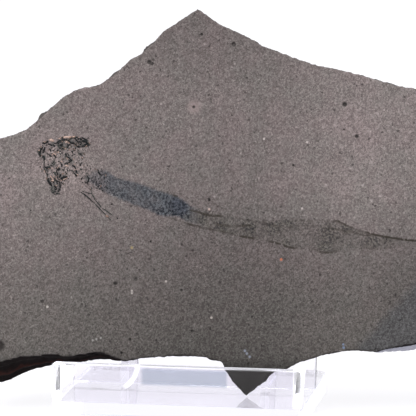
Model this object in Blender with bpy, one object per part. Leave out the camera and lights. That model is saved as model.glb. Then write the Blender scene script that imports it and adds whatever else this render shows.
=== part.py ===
"""A fossil amphibian in a broken mudstone slab, standing in a clear plastic stand.

Metres, +Z up. The origin is the centre of the stand's underside, +X runs along
the stand's width, and the front faces -Y. The slab is modelled on its own face:
X to the right, Z up the face and Y back through its thickness. It is then
leaned back and turned a little to one side, as it stands in the stand.
"""

from math import radians

import bmesh
import bpy
from mathutils import Euler, Matrix, Vector, noise

MM = 0.001
GAP = 0.0003

# Stand, driving dimensions
STAND_WIDTH = 0.062
STAND_DEPTH = 0.050
BASE_THICKNESS = 0.005
FRONT_WALL_HEIGHT = 0.010
FRONT_WALL_THICKNESS = 0.002
END_WEB_DEPTH = 0.0090
END_WEB_THICKNESS = 0.0018
REST_START = 0.0256
REST_HEIGHT = 0.034
REST_THICKNESS = 0.0025
REST_CORNER_RADIUS = 0.006
RIB_THICKNESS = 0.0022
RIB_SPACING = 0.036
RIB_REACH = 0.0135
RIB_TOP = 0.024
BASE_CORNER_RADIUS = 0.003
WALL_CORNER_RADIUS = 0.0009

# Slab, driving dimensions
SLAB_LEAN = radians(12)
SLAB_TURN = radians(8)
TIP_X = 0.0154
TIP_BEHIND_FRONT = 0.0138
LONGEST_EDGE = 0.0026
LEDGE_SLOPE = 0.00015

# Skull, driving dimensions
SKULL_RECESS = 0.0009
SKULL_PROUD = 0.0001
SKULL_RELIEF = 0.00045
SKULL_BONE_SIZE = 0.0021
SKULL_GRID = 0.00045

# Bedding layers, front to back: where each starts and ends in the thickness,
# how far its edge stands out (+) or back (-) and how rough it is, both in mm,
# its share of the shelf that sticks out under the front layer, and how much
# of the way to the middle it has split away, at least and at most.
LAYERS = (
    (0.0000, 0.0012, 0.0, 0.05, 0.00, 0.00, 0.00),
    (0.0012, 0.0030, -0.3, 0.35, 0.25, 0.00, 0.00),
    (0.0030, 0.0048, -0.1, 0.45, 0.60, 0.00, 0.00),
    (0.0048, 0.0069, -0.7, 0.60, 1.00, 0.00, 0.00),
    (0.0069, 0.0081, -1.2, 0.50, 0.90, 0.02, 0.14),
    (0.0081, 0.0090, -1.2, 0.90, 0.60, 0.16, 0.46),
)

# The broken outline of the face in mm from the middle of the face, clockwise.
TOP_LEFT_EDGE = (
    (-57.0, 15.8), (-52.0, 17.4), (-48.8, 18.3), (-45.4, 19.8), (-41.8, 22.8),
    (-39.5, 25.1), (-36.5, 27.8), (-33.5, 29.5), (-30.8, 30.4), (-27.5, 30.7),
    (-25.8, 32.1), (-23.5, 33.5), (-21.5, 35.5), (-19.5, 37.5), (-16.9, 38.8),
    (-13.9, 41.5), (-11.5, 44.4), (-8.3, 46.4), (-5.5, 48.4),
)
TOP_RIGHT_EDGE = (
    (-2.8, 50.1), (2.5, 46.3), (9.8, 43.0), (14.3, 40.5), (21.0, 38.0), (27.5, 35.9),
    (34.3, 34.5), (38.3, 33.5), (42.3, 32.3), (47.5, 30.9), (52.0, 30.1), (58.5, 28.2),
    (64.5, 25.5),
)
RIGHT_END = (
    (68.5, 21.5), (70.0, 14.5), (67.8, 6.0), (69.3, -2.5), (67.2, -10.5), (68.2, -19.0),
    (64.5, -27.0), (59.0, -31.4),
)
BOTTOM_RIGHT_EDGE = (
    (52.0, -33.6), (45.5, -34.8), (42.3, -35.7), (36.9, -35.4), (33.5, -35.7),
    (29.5, -36.4), (25.5, -37.7), (22.3, -38.8), (19.4, -40.3), (16.5, -41.1),
)
TIP_EDGE = (
    (15.0, -43.0), (12.8, -44.5), (9.8, -46.9), (6.4, -43.3), (5.0, -40.9),
)
BOTTOM_LEFT_EDGE = (
    (4.3, -40.3), (3.6, -38.3), (0.4, -37.9), (0.1, -37.4), (-3.0, -37.1), (-8.3, -37.0),
    (-12.3, -37.3), (-16.3, -37.6), (-20.5, -38.4), (-23.5, -37.4), (-27.0, -36.1),
    (-30.8, -36.8), (-35.8, -37.6), (-37.0, -37.0), (-40.8, -37.1), (-47.0, -37.6),
    (-52.0, -38.9), (-56.0, -38.6),
)
LEFT_END = (
    (-59.5, -35.0), (-61.5, -29.0), (-63.8, -21.0), (-64.8, -11.0), (-63.0, -2.0),
    (-64.5, 6.0), (-61.5, 12.0),
)
TIP = (9.8, -46.9)
TIP_HALF_WIDTH = 9.0
TIP_BEVEL = 0.32
SPLIT_CENTRE = Vector((4.0, 4.0))

# How far the deeper layers stick out below the front layer, in mm, as
# (place along the face, reach) from left to right.
SHELF = (
    (-60.0, 2.0), (-56.0, 5.6), (-52.0, 5.6), (-48.8, 5.8), (-47.0, 4.8), (-43.5, 3.7),
    (-40.0, 2.9), (-37.0, 2.4), (-27.0, 2.2), (-25.0, 2.1), (-23.0, 1.0), (-20.5, 0.0),
    (0.2, 0.0), (0.6, 0.7), (3.4, 0.7), (3.8, 0.0),
    (40.0, 0.0), (44.0, 0.7), (47.0, 1.5), (52.0, 2.1), (59.0, 2.4), (64.0, 0.0),
)

# Places on the upper edge where a deeper layer shows past the front one.
SLIVERS = ((-42.0, 23.0), (-28.8, 30.6), (-24.0, 33.3), (-15.0, 40.5))

SKULL_OUTLINE = (
    (-42.6, 14.0), (-41.5, 16.1), (-40.0, 16.8), (-38.0, 16.5), (-36.5, 17.3),
    (-33.5, 17.6), (-31.5, 17.6), (-30.1, 16.8), (-29.6, 15.9), (-31.0, 15.0),
    (-31.5, 13.0), (-32.0, 11.0), (-33.0, 9.0), (-35.0, 7.5), (-36.5, 6.5),
    (-37.0, 4.5), (-37.5, 3.3), (-38.8, 3.3), (-39.5, 5.5), (-40.8, 8.3),
    (-41.1, 10.5), (-41.8, 12.3),
)


def clear_scene():
    for obj in list(bpy.data.objects):
        bpy.data.objects.remove(obj, do_unlink=True)


def new_collection(name, hidden=False):
    collection = bpy.data.collections.new(name)
    collection.hide_render = hidden
    bpy.context.scene.collection.children.link(collection)
    return collection


def new_material(name, colour, roughness, transmission=0.0, ior=1.5):
    material = bpy.data.materials.new(name)
    material.use_nodes = True
    shader = material.node_tree.nodes["Principled BSDF"]
    shader.inputs["Base Color"].default_value = (*colour, 1.0)
    shader.inputs["Roughness"].default_value = roughness
    shader.inputs["Metallic"].default_value = 0.0
    shader.inputs["Transmission Weight"].default_value = transmission
    shader.inputs["IOR"].default_value = ior
    return material


def object_from(bm, name, collection, material=None):
    mesh = bpy.data.meshes.new(name)
    bmesh.ops.recalc_face_normals(bm, faces=bm.faces)
    bm.to_mesh(mesh)
    bm.free()
    obj = bpy.data.objects.new(name, mesh)
    collection.objects.link(obj)
    if material:
        obj.data.materials.append(material)
    return obj


def hide_as_cutter(obj):
    obj.hide_render = True
    obj.display_type = "WIRE"


def add_boolean(obj, operation, other):
    modifier = obj.modifiers.new(f"{operation.lower()} {other.name}", "BOOLEAN")
    modifier.operation = operation
    modifier.solver = "EXACT"
    modifier.object = other


def between(table, place):
    """The reach at a place along the face, straight between the table's rows."""
    if place <= table[0][0] or place >= table[-1][0]:
        return 0.0
    for (left, low), (right, high) in zip(table, table[1:]):
        if place <= right:
            return low + (high - low) * (place - left) / (right - left)
    return 0.0


def evenly_divided(outline, longest):
    """The outline in metres, with each long edge divided."""
    points = [Vector((x * MM, z * MM)) for x, z in outline]
    divided = []
    for start, end in zip(points, points[1:] + points[:1]):
        count = max(1, round((end - start).length / longest))
        divided += [start.lerp(end, step / count) for step in range(count)]
    return divided


def outward_normals(points):
    """A unit vector out of the clockwise outline at each point."""
    normals = []
    for index, point in enumerate(points):
        along = points[(index + 1) % len(points)] - points[index - 1]
        normals.append(Vector((-along.y, along.x)).normalized())
    return normals


def edge_point(point, normal, layer, depth):
    """Where a layer's broken edge runs, for one point of the front outline."""
    stand_out, roughness, shelf_share, least_split, most_split = LAYERS[layer][2:]
    place = Vector((point.x / (3.2 * MM), point.y / (3.2 * MM), layer * 7.3))
    fine = Vector((point.x / (1.1 * MM), point.y / (1.1 * MM), layer * 3.1 + 40.0))
    reach = stand_out + roughness * (noise.noise(place) + 0.45 * noise.noise(fine))
    if 0 < layer < 3:
        for x, z in SLIVERS:
            away = (point - Vector((x, z)) * MM).length / (2.0 * MM)
            reach += 1.1 * max(0.0, 1.0 - away * away)
    moved = point + normal * reach * MM
    if point.y < -0.030:
        moved.y -= between(SHELF, point.x / MM) * shelf_share * MM
    if point.y < -0.038 and abs(point.x / MM - TIP[0]) < TIP_HALF_WIDTH:
        moved.y += TIP_BEVEL * depth
    wave = noise.noise(Vector((point.x / (22 * MM), point.y / (22 * MM), 5.0 + layer)))
    split = least_split + (most_split - least_split) * min(1.0, max(0.0, wave + 0.5))
    return moved.lerp(SPLIT_CENTRE * MM, split)


def slab_rings():
    """Rings of points through the thickness, two to each bedding layer."""
    outline = (
        TOP_LEFT_EDGE + TOP_RIGHT_EDGE + RIGHT_END + BOTTOM_RIGHT_EDGE + TIP_EDGE
        + BOTTOM_LEFT_EDGE + LEFT_END
    )
    points = evenly_divided(outline, LONGEST_EDGE)
    normals = outward_normals(points)
    rings = []
    for layer, (front, back, *_) in enumerate(LAYERS):
        for depth in (front + (LEDGE_SLOPE if layer else 0.0), back):
            ring = []
            for point, normal in zip(points, normals):
                place = point if depth == 0.0 else edge_point(point, normal, layer, depth)
                ring.append((place.x, depth, place.y))
            rings.append(ring)
    return rings


def loft(rings):
    """A closed body through rings of the same number of points."""
    bm = bmesh.new()
    loops = [[bm.verts.new(point) for point in ring] for ring in rings]
    count = len(loops[0])
    for near, far in zip(loops, loops[1:]):
        for index in range(count):
            after = (index + 1) % count
            bm.faces.new((near[index], near[after], far[after], far[index]))
    bm.faces.new(loops[0])
    bm.faces.new(loops[-1])
    return bm


def outline_prism(outline, front, back, grow=0.0):
    """A flat outline on the face, given thickness from front to back."""
    points = [Vector((x, z)) * MM for x, z in outline]
    normals = outward_normals(points)
    bm = bmesh.new()
    verts = [
        bm.verts.new((point.x + normal.x * grow, front, point.y + normal.y * grow))
        for point, normal in zip(points, normals)
    ]
    face = bm.faces.new(verts)
    made = bmesh.ops.extrude_face_region(bm, geom=[face])["geom"]
    moved = [item for item in made if isinstance(item, bmesh.types.BMVert)]
    bmesh.ops.translate(bm, verts=moved, vec=(0.0, back - front, 0.0))
    return bm


def bone_height(x, z):
    """How far the crushed bones stand out: plates with low seams between."""
    place = Vector((x / SKULL_BONE_SIZE, z / SKULL_BONE_SIZE, 0.37))
    distances, cells = noise.voronoi(place)
    seam = min(1.0, (distances[1] - distances[0]) / 0.35)
    own = 0.5 + 0.5 * noise.cell(cells[0] * 3.0)
    return SKULL_PROUD + SKULL_RELIEF * seam * (0.35 + 0.65 * own)


def make_skull(collection, cutters, material):
    """A bumpy sheet of bone plates, trimmed to the outline of the skull."""
    xs = [x for x, _ in SKULL_OUTLINE]
    zs = [z for _, z in SKULL_OUTLINE]
    width = (max(xs) - min(xs) + 2.0) * MM
    height = (max(zs) - min(zs) + 2.0) * MM
    centre_x = (max(xs) + min(xs)) / 2 * MM
    centre_z = (max(zs) + min(zs)) / 2 * MM
    bm = bmesh.new()
    bmesh.ops.create_grid(
        bm,
        x_segments=round(width / SKULL_GRID),
        y_segments=round(height / SKULL_GRID),
        size=0.5,
    )
    for vert in bm.verts:
        x = centre_x + vert.co.x * width
        z = centre_z + vert.co.y * height
        vert.co = Vector((x, -bone_height(x, z), z))
    made = bmesh.ops.extrude_face_region(bm, geom=list(bm.faces))["geom"]
    for item in made:
        if isinstance(item, bmesh.types.BMVert):
            item.co.y = SKULL_RECESS - GAP
    skull = object_from(bm, "skull", collection, material)
    trim = object_from(outline_prism(SKULL_OUTLINE, -2 * MM, 2 * MM), "skull_trim", cutters)
    hide_as_cutter(trim)
    add_boolean(skull, "INTERSECT", trim)
    return skull, trim


def make_slab(collection, cutters, material):
    """The slab, its bedding layers broken back unevenly, with the skull's recess."""
    slab = object_from(loft(slab_rings()), "slab", collection, material)
    recess = object_from(
        outline_prism(SKULL_OUTLINE, -2 * MM, SKULL_RECESS, grow=GAP), "skull_recess", cutters
    )
    hide_as_cutter(recess)
    add_boolean(slab, "DIFFERENCE", recess)
    return slab, recess


def stand_profile():
    """The stand's side view: base, front wall and back rest, as (y, z) points."""
    front = -STAND_DEPTH / 2
    back = STAND_DEPTH / 2
    top = BASE_THICKNESS + FRONT_WALL_HEIGHT
    lean = Matrix.Rotation(-SLAB_LEAN, 2)
    up = lean @ Vector((0.0, REST_HEIGHT))
    through = lean @ Vector((REST_THICKNESS, 0.0))
    rest_foot = Vector((front + REST_START, BASE_THICKNESS))
    rest_back = rest_foot + through
    drop = (BASE_THICKNESS - rest_back.y) / up.y
    return (
        Vector((front, 0.0)),
        Vector((front, top)),
        Vector((front + FRONT_WALL_THICKNESS, top)),
        Vector((front + FRONT_WALL_THICKNESS, BASE_THICKNESS)),
        rest_foot,
        rest_foot + up,
        rest_foot + up + through,
        rest_back + up * drop,
        Vector((back, BASE_THICKNESS)),
        Vector((back, 0.0)),
    )


def prism_along_x(profile, start, end):
    bm = bmesh.new()
    face = bm.faces.new([bm.verts.new((start, point.x, point.y)) for point in profile])
    made = bmesh.ops.extrude_face_region(bm, geom=[face])["geom"]
    moved = [item for item in made if isinstance(item, bmesh.types.BMVert)]
    bmesh.ops.translate(bm, verts=moved, vec=(end - start, 0.0, 0.0))
    return bm


def round_corners(bm, chosen, radius, segments):
    """Rounds the edges that the test chooses by their middle and direction."""
    edges = []
    for edge in bm.edges:
        middle = (edge.verts[0].co + edge.verts[1].co) / 2
        along = (edge.verts[1].co - edge.verts[0].co).normalized()
        if abs(abs(middle.x) - STAND_WIDTH / 2) < 1e-6 and chosen(middle, along):
            edges.append(edge)
    bmesh.ops.bevel(
        bm, geom=edges, offset=radius, segments=segments, affect="EDGES", profile=0.5
    )


def make_stand(collection, cutters, material):
    """One moulding: base, front wall and back rest, with end webs and two ribs."""
    profile = stand_profile()
    half = STAND_WIDTH / 2
    front = -STAND_DEPTH / 2
    wall_top = BASE_THICKNESS + FRONT_WALL_HEIGHT
    rest_top = BASE_THICKNESS + REST_HEIGHT * 0.9
    bm = prism_along_x(profile, -half, half)
    round_corners(
        bm, lambda at, way: at.z > rest_top and abs(way.x) < 0.1, REST_CORNER_RADIUS, 6
    )
    round_corners(
        bm,
        lambda at, way: abs(at.z - wall_top) < 1e-6 and abs(way.y) > 0.9,
        WALL_CORNER_RADIUS,
        4,
    )
    round_corners(
        bm,
        lambda at, way: abs(way.z) > 0.9 and at.y > STAND_DEPTH / 2 - 1e-6,
        BASE_CORNER_RADIUS,
        5,
    )
    stand = object_from(bm, "stand", collection, material)

    sunk = 0.4 * MM
    web = (
        Vector((front + sunk, wall_top - sunk)),
        Vector((front + END_WEB_DEPTH, wall_top - sunk)),
        Vector((front + FRONT_WALL_THICKNESS - sunk, BASE_THICKNESS + sunk)),
        Vector((front + sunk, BASE_THICKNESS + sunk)),
    )
    rest_foot, rest_head = profile[7], profile[6]
    rib_head = rest_foot.lerp(rest_head, RIB_TOP / REST_HEIGHT)
    rib = (
        Vector((rest_foot.x - sunk, BASE_THICKNESS - sunk)),
        Vector((rib_head.x - sunk, rib_head.y)),
        Vector((rest_foot.x + RIB_REACH, BASE_THICKNESS + sunk)),
        Vector((rest_foot.x + RIB_REACH, BASE_THICKNESS - sunk)),
    )
    rib_in = (RIB_SPACING - RIB_THICKNESS) / 2
    rib_out = (RIB_SPACING + RIB_THICKNESS) / 2
    shapes = (
        ("end_web_left", web, -half, -half + END_WEB_THICKNESS),
        ("end_web_right", web, half - END_WEB_THICKNESS, half),
        ("rib_left", rib, -rib_out, -rib_in),
        ("rib_right", rib, rib_in, rib_out),
    )
    for name, outline, start, end in shapes:
        shape = object_from(prism_along_x(outline, start, end), name, cutters)
        hide_as_cutter(shape)
        add_boolean(stand, "UNION", shape)
    return stand


def main():
    clear_scene()
    parts = new_collection("fossil_amphibian_slab")
    cutters = new_collection("cutters", hidden=True)
    stone = new_material("mudstone", (0.180, 0.155, 0.148), 0.9)
    bone = new_material("dark_bone", (0.060, 0.050, 0.052), 0.6)
    plastic = new_material("clear_plastic", (0.96, 0.98, 1.0), 0.03, 1.0, 1.49)

    turn = Euler((-SLAB_LEAN, 0.0, SLAB_TURN)).to_matrix()
    tip_place = Vector((TIP_X, -STAND_DEPTH / 2 + TIP_BEHIND_FRONT, BASE_THICKNESS + GAP))
    pose = bpy.data.objects.new("slab_pose", None)
    parts.objects.link(pose)
    pose.rotation_euler = (-SLAB_LEAN, 0.0, SLAB_TURN)
    pose.location = tip_place - turn @ Vector((TIP[0] * MM, 0.0, TIP[1] * MM))

    for obj in (*make_slab(parts, cutters, stone), *make_skull(parts, cutters, bone)):
        obj.parent = pose
    make_stand(parts, cutters, plastic)


main()
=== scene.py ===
"""A small fossil amphibian in a broken mudstone slab, standing in a clear plastic stand."""

import math
import random

import bpy
from mathutils import Euler, Matrix, Vector, kdtree, noise


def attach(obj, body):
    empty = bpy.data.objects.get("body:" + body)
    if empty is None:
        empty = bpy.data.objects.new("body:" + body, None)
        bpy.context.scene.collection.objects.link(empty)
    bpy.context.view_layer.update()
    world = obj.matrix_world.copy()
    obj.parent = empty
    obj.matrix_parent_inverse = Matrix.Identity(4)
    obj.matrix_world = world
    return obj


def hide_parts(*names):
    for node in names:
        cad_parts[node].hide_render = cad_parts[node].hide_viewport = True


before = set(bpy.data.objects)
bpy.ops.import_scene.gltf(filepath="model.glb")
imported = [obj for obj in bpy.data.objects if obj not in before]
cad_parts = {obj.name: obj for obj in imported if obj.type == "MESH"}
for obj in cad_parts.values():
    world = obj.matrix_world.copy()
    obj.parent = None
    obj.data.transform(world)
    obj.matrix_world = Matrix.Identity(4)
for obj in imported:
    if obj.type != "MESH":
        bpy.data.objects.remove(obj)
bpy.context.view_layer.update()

# The slab: one broken plate of fine grey-brown mudstone, split along its bedding,
# so its face is nearly flat and its broken edges step back in layers. It stands on
# its lowest tip, leaned back and turned a little to one side in the stand.
MM = 0.001
SLAB_LEAN = math.radians(12)
SLAB_TURN = math.radians(8)
TIP_ON_FACE = Vector((9.8, 0.0, -46.9)) * MM
TIP_IN_STAND = Vector((15.4, -11.2, 5.3)) * MM
VOXEL = 0.495 * MM
RECESS_FILL_SIZE = Vector((15.0, 2.0, 16.5)) * MM
RECESS_FILL_PLACE = Vector((-36.1, 1.0, 10.4)) * MM
EDGE_ROUGHNESS = 0.16 * MM
LAMINA_DEPTH = 0.10 * MM
NOTCH_DEPTH = 0.9 * MM
FACE_WAVE = 0.05 * MM
FACE_CRUMB = 0.015 * MM
BACK_WAVE = 0.22 * MM
BACK_CRUMB = 0.06 * MM
BREAK_LINE_REACH = 0.75 * MM
MERGE_DISTANCE = 1e-6
LEANING = 0.6
FACE_LAYER = 0.6

# Small pits in the face, as (across, up, radius) in mm on the face.
PITS = (
    (-14.9, 36.6, 0.40), (-14.2, 36.2, 0.32), (-1.8, 43.6, 0.26), (6.2, 41.1, 0.42), (-3.7, 25.3, 0.30),
    (34.1, 26.1, 0.48), (37.1, 18.1, 0.36), (33.9, 19.8, 0.16), (21.3, 10.8, 0.24), (0.4, 2.0, 0.22),
    (-17.9, -17.9, 0.32), (-23.1, -19.0, 0.34), (-6.5, -20.6, 0.26), (-3.8, -30.8, 0.28),
    (-19.3, -33.0, 0.26), (-21.4, -36.3, 0.26), (-41.3, -23.6, 0.32), (-24.1, 0.8, 0.20),
    (-44.4, -0.8, 0.16), (-14.3, -8.5, 0.20),
)
PIT_WIDTH = 1.5
PIT_DEPTH = 0.8
PIT_MARGIN = 0.4
PIT_FINENESS = 3

# What is on the slab is modelled on its upright face, X to the right, Y back into
# the rock and Z up, and then posed as the slab stands.
slab_pose = (
    Matrix.Translation(TIP_IN_STAND)
    @ Euler((-SLAB_LEAN, 0.0, SLAB_TURN)).to_matrix().to_4x4()
    @ Matrix.Translation(-TIP_ON_FACE)
)


def pose_as_slab(obj):
    obj.data.transform(slab_pose)
    obj.data.update()


def deselect_all():
    for obj in bpy.context.selected_objects:
        obj.select_set(False)


def make_active(obj):
    deselect_all()
    obj.select_set(True)
    bpy.context.view_layer.objects.active = obj


def merged_copy(cad_name, name):
    """A copy of a CAD node's mesh, merged into one closed shell."""
    obj = bpy.data.objects.new(name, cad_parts[cad_name].data.copy())
    obj.data.materials.clear()
    bpy.context.scene.collection.objects.link(obj)
    make_active(obj)
    bpy.ops.object.mode_set(mode="EDIT")
    bpy.ops.mesh.select_all(action="SELECT")
    bpy.ops.mesh.remove_doubles(threshold=MERGE_DISTANCE)
    bpy.ops.object.mode_set(mode="OBJECT")
    return obj


def squareness(toward):
    """How squarely a surface lies, 0 where it leans away and 1 where it is square."""
    return max(0.0, min(1.0, (toward - LEANING) / 0.3))


def worked_rock(point, normal):
    """Where a point of the slab goes once the rock is broken and split."""
    across, depth, up = point / MM
    on_face = squareness(-normal.y) if depth < FACE_LAYER else 0.0
    on_back = squareness(normal.y)
    on_edge = 1.0 - max(on_face, on_back)
    move = Vector((0.0, 0.0, 0.0))
    if on_edge > 0.0:
        chipped = noise.noise(Vector((across * 0.9, depth * 1.6, up * 0.9)))
        fine = noise.noise(Vector((across * 2.6, depth * 4.5, up * 2.6)) + Vector((9.0, 0.0, 0.0)))
        lamina = noise.noise(Vector((across * 0.12, depth * 3.4, up * 0.12)) + Vector((0.0, 0.0, 31.0)))
        step = EDGE_ROUGHNESS * (chipped + 0.6 * fine) + LAMINA_DEPTH * lamina
        notch = noise.noise(Vector((across * 0.55, depth * 0.5, up * 0.55)) + Vector((70.0, 0.0, 0.0)))
        step -= NOTCH_DEPTH * max(0.0, notch - 0.25)
        move += normal * step * on_edge * min(1.0, depth / 0.5)
    if on_back > 0.0:
        wave = noise.noise(Vector((across / 9.0, up / 9.0, 3.0)))
        crumb = noise.noise(Vector((across / 1.3, up / 1.3, 8.0)))
        move.y -= (BACK_WAVE * abs(wave) + BACK_CRUMB * max(0.0, crumb)) * on_back
    if on_face > 0.0:
        wave = noise.noise(Vector((across / 14.0, up / 14.0, 1.0)))
        crumb = noise.noise(Vector((across / 1.1, up / 1.1, 5.0)))
        sink = FACE_WAVE * (0.5 + 0.5 * wave) + FACE_CRUMB * crumb
        for x, z, radius in PITS:
            away = math.hypot(across - x, up - z) / (radius * PIT_WIDTH)
            if away < 1.0:
                sink += radius * MM * PIT_DEPTH * (1.0 - away * away)
        move.y += max(0.0, sink) * on_face
    return point + move


# Its form is the CAD slab's, with the skull's recess filled.
slab = merged_copy("slab", "mudstone_slab")
slab.data.transform(slab_pose.inverted())
bpy.ops.mesh.primitive_cube_add(size=1.0, location=RECESS_FILL_PLACE, scale=RECESS_FILL_SIZE)
filler = bpy.context.object
deselect_all()
filler.select_set(True)
slab.select_set(True)
bpy.context.view_layer.objects.active = slab
bpy.ops.object.join()
remesh = slab.modifiers.new("rock_grain", "REMESH")
remesh.mode = "VOXEL"
remesh.voxel_size = VOXEL
bpy.ops.object.modifier_apply(modifier=remesh.name)

# The face is made finer round each pit, then everything is worked over.
for polygon in slab.data.polygons:
    across, depth, up = polygon.center / MM
    near = (math.hypot(across - x, up - z) < radius * PIT_WIDTH + PIT_MARGIN for x, z, radius in PITS)
    polygon.select = depth < 0.3 and any(near)
bpy.ops.object.mode_set(mode="EDIT")
bpy.ops.mesh.select_mode(type="FACE")
bpy.ops.mesh.subdivide(number_cuts=PIT_FINENESS)
bpy.ops.object.mode_set(mode="OBJECT")
rock_normals = [vertex.normal.copy() for vertex in slab.data.vertices]
for vertex, rock_normal in zip(slab.data.vertices, rock_normals):
    vertex.co = worked_rock(vertex.co, rock_normal)

# How near each point is to the face's broken rim, for the painted shade line round
# it, and how squarely it lies on the split back.
broken = [
    vertex.co.copy() for vertex, rock_normal in zip(slab.data.vertices, rock_normals)
    if abs(rock_normal.y) < LEANING and 0.4 * MM < vertex.co.y < 1.5 * MM
]
breaks = kdtree.KDTree(len(broken))
for index, point in enumerate(broken):
    breaks.insert(point, index)
breaks.balance()
near_break = slab.data.attributes.new("near_break", "FLOAT", "POINT")
split_back = slab.data.attributes.new("split_back", "FLOAT", "POINT")
for index, (vertex, rock_normal) in enumerate(zip(slab.data.vertices, rock_normals)):
    away = breaks.find(vertex.co)[2]
    near_break.data[index].value = max(0.0, 1.0 - away / BREAK_LINE_REACH)
    split_back.data[index].value = max(0.0, rock_normal.y)
pose_as_slab(slab)
bpy.ops.object.shade_smooth()


def feed(sockets, values):
    """Links sockets to the outputs of other nodes, or gives them values and colours."""
    for title, value in values.items():
        socket = sockets[title]
        if isinstance(value, bpy.types.NodeSocket):
            socket.id_data.links.new(value, socket)
        elif socket.type == "RGBA":
            socket.default_value = (*value, 1.0)
        else:
            socket.default_value = value


def new_material(name):
    material = bpy.data.materials.new(name)
    material.use_nodes = True
    return material, material.node_tree, material.node_tree.nodes["Principled BSDF"].inputs


def new_group(name, outputs):
    """A node group with its own named outputs."""
    group = bpy.data.node_groups.new(name, "ShaderNodeTree")
    for title, kind in outputs.items():
        group.interface.new_socket(name=title, in_out="OUTPUT", socket_type="NodeSocket" + kind)
    return group, group.nodes.new("NodeGroupOutput").inputs


def node(kind, values=(), tree=None, **settings):
    """Adds a node to the tree that feeds it, and gives its outputs."""
    values = dict(values)
    if tree is None:
        feeding = (value for value in values.values() if isinstance(value, bpy.types.NodeSocket))
        tree = next(feeding).id_data
    made = tree.nodes.new("ShaderNode" + kind)
    for setting, value in settings.items():
        setattr(made, setting, value)
    feed(made.inputs, values)
    return made.outputs


def use_group(tree, group):
    return node("Group", tree=tree, node_tree=group)


def calc(operation, *values, clamp=False):
    return node("Math", enumerate(values), operation=operation, use_clamp=clamp)[0]


def times(first, *others):
    for other in others:
        first = calc("MULTIPLY", first, other)
    return first


def scaled(value, by, plus):
    return calc("MULTIPLY_ADD", value, by, plus)


def fade(value, none_at, full_at):
    """A soft step: 0 where the value is at none_at, 1 where it is at full_at."""
    limits = {"Value": value, "From Min": none_at, "From Max": full_at}
    return node("MapRange", limits, interpolation_type="SMOOTHSTEP")["Result"]


def between(value, starts, full, still_full, ends):
    """1 where a value lies between two limits, with a soft step at each."""
    return times(fade(value, starts, full), fade(value, ends, still_full))


def tint(share, first, second, blend="MIX"):
    return node("Mix", {0: share, 6: first, 7: second}, data_type="RGBA", blend_type=blend)[2]


def stained(colour, mask, strength, stain):
    """Lays a stain over a colour where the mask is, up to the given strength."""
    return tint(times(mask, strength), colour, stain)


def shaded(colour, level):
    """Multiplies a colour by a level of brightness."""
    grey = node("CombineColor", {"Red": level, "Green": level, "Blue": level})["Color"]
    return tint(1.0, colour, grey, "MULTIPLY")


def grain(place, scale, detail=2.0, roughness=0.55):
    kind = {"Vector": place, "Scale": scale, "Detail": detail, "Roughness": roughness}
    return node("TexNoise", kind)["Fac"]


def each_grain(place, scale):
    """A random value from 0 to 1, one for each small grain."""
    colour = node("TexVoronoi", {"Vector": place, "Scale": scale})["Color"]
    return node("SeparateColor", {"Color": colour})["Red"]


def shifted(place, offset, stretch=(1.0, 1.0, 1.0), turn=(0.0, 0.0, 0.0)):
    move = {"Vector": place, "Location": offset, "Rotation": turn, "Scale": stretch}
    return node("Mapping", move)["Vector"]


def how_far(place, spot):
    ends = {0: place, 1: (spot[0], 0.0, spot[1])}
    return node("VectorMath", ends, operation="DISTANCE")["Value"]


def near_spot(place, spot, radius, softness):
    """1 inside a small round spot of the face, fading to 0 round it."""
    away = how_far(place, spot)
    return fade(away, radius * (1.0 + softness), radius * (1.0 - softness))


def near_any(place, spots, spread, softness):
    """1 inside any of some round spots, given as (across, up, radius)."""
    nearest = 0.0
    for x, z, radius in spots:
        spot = near_spot(place, (x, z), radius * spread, softness)
        nearest = calc("MAXIMUM", nearest, spot)
    return nearest


def painted(tree, name):
    """A value that the mesh carries at each of its points."""
    return node("Attribute", tree=tree, attribute_name=name)["Fac"]


def bumped(height, distance):
    return node("Bump", {"Height": height, "Distance": distance})["Normal"]


def drawn_curve(value, points, low, high):
    """A height drawn by points over the distance across the face, in mm."""
    start, end = points[0][0], points[-1][0]
    along = node("MapRange", {"Value": value, "From Min": start, "From Max": end})["Result"]
    height = node("FloatCurve", {"Value": along})["Value"]
    mapping = height.node.mapping
    curve = mapping.curves[0]
    shares = [((x - start) / (end - start), (y - low) / (high - low)) for x, y in points]
    curve.points[0].location = shares[0]
    curve.points[1].location = shares[-1]
    for share in shares[1:-1]:
        curve.points.new(*share)
    for point in curve.points:
        point.handle_type = "AUTO_CLAMPED"
    mapping.update()
    return node("MapRange", {"Value": height, "To Min": low, "To Max": high})["Result"]


# Where a point is on the slab's upright face, in millimetres.
face_place, outlet = new_group(
    "place_on_face", {"Place": "Vector", "Across": "Float", "Depth": "Float", "Up": "Float"}
)
as_slab_stands = {
    "Vector": node("TexCoord", tree=face_place)["Object"], "Location": slab_pose.translation,
    "Rotation": (-SLAB_LEAN, 0.0, SLAB_TURN), "Scale": (MM, MM, MM),
}
upright = node("Mapping", as_slab_stands, vector_type="TEXTURE")["Vector"]
along_x, along_y, along_z = node("SeparateXYZ", {"Vector": upright})
feed(outlet, {"Place": upright, "Across": along_x, "Depth": along_y, "Up": along_z})

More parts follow.
